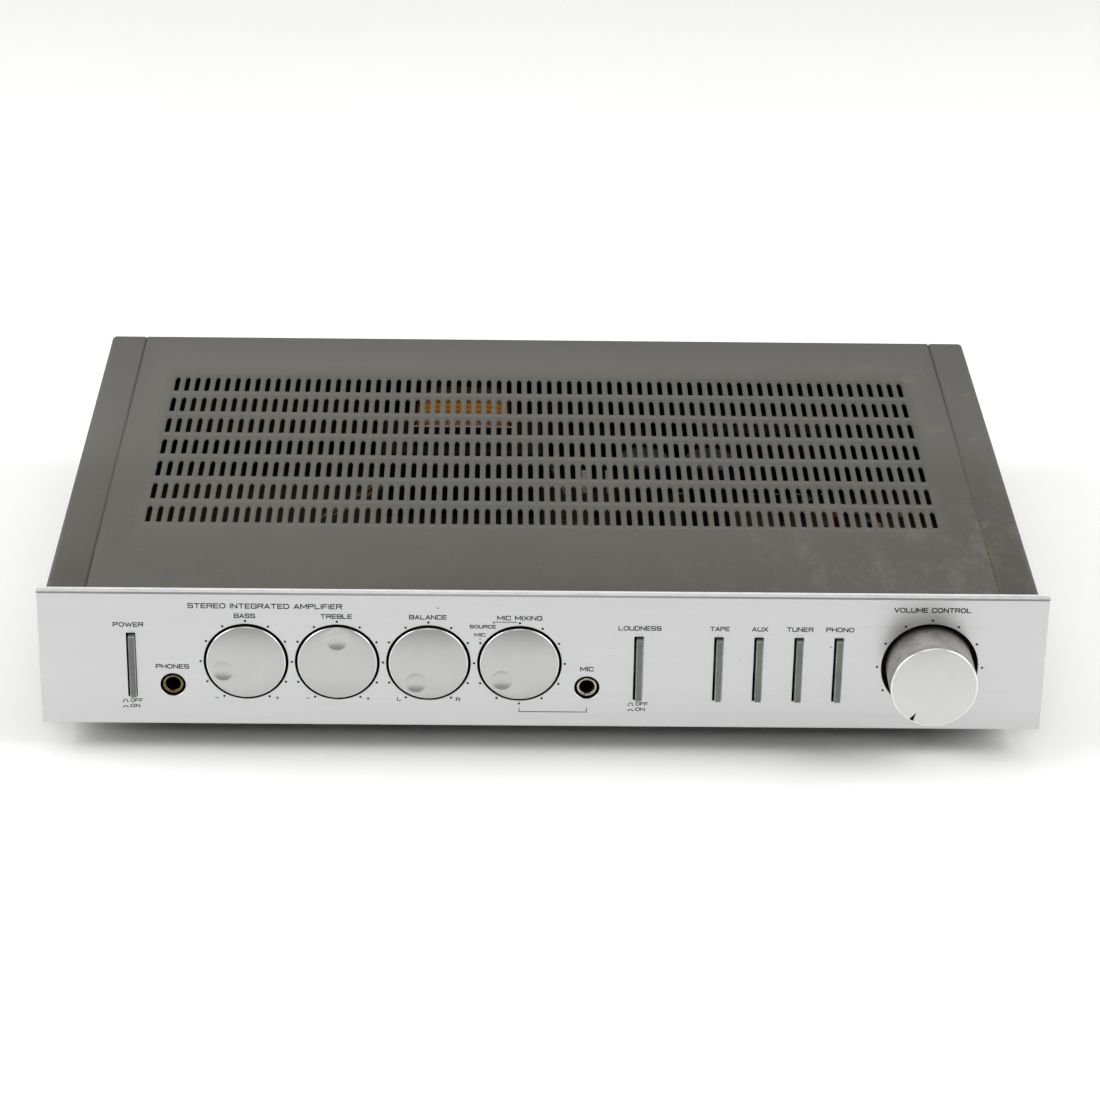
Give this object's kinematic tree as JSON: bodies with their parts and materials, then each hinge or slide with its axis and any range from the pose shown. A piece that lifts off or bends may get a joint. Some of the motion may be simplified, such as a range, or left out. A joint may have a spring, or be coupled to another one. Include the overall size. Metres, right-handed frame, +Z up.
{
  "type": "integrated amplifier",
  "caption": "Slim full-width stereo amplifier: brushed aluminium panel, flat disc tone knobs, large volume knob, slim push buttons and a slotted grey steel cover.",
  "frame": {"origin": "bottom centre of the bounding box, on the plane the four feet stand on", "axes": "+X to the right as seen from the front, +Y from the front panel to the rear panel, +Z up"},
  "size_m": [0.44, 0.3352, 0.078],
  "materials": {
    "panel_aluminium": "fine horizontal brushed grain, clear anodised",
    "knob_aluminium": "fine bead-blasted satin, anodised, bright turned edge",
    "cover_paint": "matt dark olive-grey baked enamel with a fine speckle",
    "chassis_steel": "zinc-plated sheet, dull",
    "plated_steel": "bright zinc or nickel plate",
    "screw_black": "black-finished steel screw",
    "foot_rubber": "matt black moulded",
    "button_plastic": "satin grey moulded",
    "plunger_plastic": "natural white acetal",
    "switch_plastic": "dark phenolic",
    "terminal_plastic": "black moulded",
    "lever_red": "red moulded",
    "lever_black": "black moulded",
    "jack_metal": "dull nickel over brass",
    "core_iron": "varnished silicon-steel laminations",
    "winding_tape": "amber polyester tape over copper",
    "board_phenolic": "brown paper-phenolic circuit board",
    "capacitor_sleeve": "dark shrink sleeve",
    "sink_aluminium": "black anodised extrusion"
  },
  "bodies": {
    "chassis": {"front_panel": "panel_aluminium", "top_cover": "cover_paint", "rear_panel": "cover_paint", "chassis_tray": "chassis_steel", "front_subframe": "chassis_steel", "bass_pot": "plated_steel", "treble_pot": "plated_steel", "balance_pot": "plated_steel", "mic_mixing_pot": "plated_steel", "volume_pot": "plated_steel", "ground_screw": "plated_steel", "cover_screw_front_left": "screw_black", "cover_screw_front_right": "screw_black", "cover_screw_rear_left": "screw_black", "cover_screw_rear_right": "screw_black", "foot_front_left": "foot_rubber", "foot_front_right": "foot_rubber", "foot_rear_left": "foot_rubber", "foot_rear_right": "foot_rubber", "power_switch": "switch_plastic", "loudness_switch": "switch_plastic", "selector_switch": "switch_plastic", "speaker_terminal_block": "terminal_plastic", "input_socket_block": "terminal_plastic", "mains_gland": "terminal_plastic", "power_module": "terminal_plastic", "phones_jack": "jack_metal", "mic_jack": "jack_metal", "transformer_core": "core_iron", "transformer_winding": "winding_tape", "main_board": "board_phenolic", "filter_capacitor_left": "capacitor_sleeve", "filter_capacitor_right": "capacitor_sleeve", "heat_sink": "sink_aluminium"},
    "bass_control": {"bass_knob": "knob_aluminium", "bass_shaft": "plated_steel"},
    "treble_control": {"treble_knob": "knob_aluminium", "treble_shaft": "plated_steel"},
    "balance_control": {"balance_knob": "knob_aluminium", "balance_shaft": "plated_steel"},
    "mic_mixing_control": {"mic_mixing_knob": "knob_aluminium", "mic_mixing_shaft": "plated_steel"},
    "volume_control": {"volume_knob": "knob_aluminium", "volume_shaft": "plated_steel"},
    "power_push": {"power_button": "button_plastic", "power_plunger": "plunger_plastic"},
    "loudness_push": {"loudness_button": "button_plastic", "loudness_plunger": "plunger_plastic"},
    "tape_push": {"tape_button": "button_plastic", "tape_plunger": "plunger_plastic"},
    "aux_push": {"aux_button": "button_plastic", "aux_plunger": "plunger_plastic"},
    "tuner_push": {"tuner_button": "button_plastic", "tuner_plunger": "plunger_plastic"},
    "phono_push": {"phono_button": "button_plastic", "phono_plunger": "plunger_plastic"},
    "speaker_left_minus": {"speaker_lever_left_minus": "lever_black"},
    "speaker_left_plus": {"speaker_lever_left_plus": "lever_red"},
    "speaker_right_minus": {"speaker_lever_right_minus": "lever_black"},
    "speaker_right_plus": {"speaker_lever_right_plus": "lever_red"}
  },
  "joints": [
    {"name": "bass_turn", "type": "hinge", "parent": "chassis", "child": "bass_control", "pos_m": [-0.1298, -0.1486, 0.0446], "axis": [0, 1, 0], "range_deg": [-37, 263]},
    {"name": "treble_turn", "type": "hinge", "parent": "chassis", "child": "treble_control", "pos_m": [-0.09, -0.1486, 0.0446], "axis": [0, 1, 0], "range_deg": [-150, 150]},
    {"name": "balance_turn", "type": "hinge", "parent": "chassis", "child": "balance_control", "pos_m": [-0.0502, -0.1486, 0.0446], "axis": [0, 1, 0], "range_deg": [0, 300]},
    {"name": "mic_mixing_turn", "type": "hinge", "parent": "chassis", "child": "mic_mixing_control", "pos_m": [-0.0104, -0.1486, 0.0446], "axis": [0, 1, 0], "range_deg": [-14, 286]},
    {"name": "volume_turn", "type": "hinge", "parent": "chassis", "child": "volume_control", "pos_m": [0.1693, -0.1486, 0.0443], "axis": [0, 1, 0], "range_deg": [0, 300]},
    {"name": "power_press", "type": "slide", "parent": "chassis", "child": "power_push", "axis": [0, 1, 0], "range_m": [0, 0.003], "stiffness_N_per_m": 300},
    {"name": "loudness_press", "type": "slide", "parent": "chassis", "child": "loudness_push", "axis": [0, 1, 0], "range_m": [0, 0.003], "stiffness_N_per_m": 300},
    {"name": "tape_press", "type": "slide", "parent": "chassis", "child": "tape_push", "axis": [0, 1, 0], "range_m": [0, 0.003], "stiffness_N_per_m": 300},
    {"name": "aux_press", "type": "slide", "parent": "chassis", "child": "aux_push", "axis": [0, 1, 0], "range_m": [0, 0.003], "stiffness_N_per_m": 300},
    {"name": "tuner_press", "type": "slide", "parent": "chassis", "child": "tuner_push", "axis": [0, 1, 0], "range_m": [0, 0.003], "stiffness_N_per_m": 300},
    {"name": "phono_press", "type": "slide", "parent": "chassis", "child": "phono_push", "axis": [0, 1, 0], "range_m": [0, 0.003], "stiffness_N_per_m": 300},
    {"name": "speaker_left_minus_tilt", "type": "hinge", "parent": "chassis", "child": "speaker_left_minus", "pos_m": [0.021, 0.164, 0.0404], "axis": [1, 0, 0], "range_deg": [0, 15], "stiffness_Nm_per_rad": 0.05},
    {"name": "speaker_left_plus_tilt", "type": "hinge", "parent": "chassis", "child": "speaker_left_plus", "pos_m": [0.035, 0.164, 0.0404], "axis": [1, 0, 0], "range_deg": [0, 15], "stiffness_Nm_per_rad": 0.05},
    {"name": "speaker_right_minus_tilt", "type": "hinge", "parent": "chassis", "child": "speaker_right_minus", "pos_m": [0.049, 0.164, 0.0404], "axis": [1, 0, 0], "range_deg": [0, 15], "stiffness_Nm_per_rad": 0.05},
    {"name": "speaker_right_plus_tilt", "type": "hinge", "parent": "chassis", "child": "speaker_right_plus", "pos_m": [0.063, 0.164, 0.0404], "axis": [1, 0, 0], "range_deg": [0, 15], "stiffness_Nm_per_rad": 0.05}
  ]
}
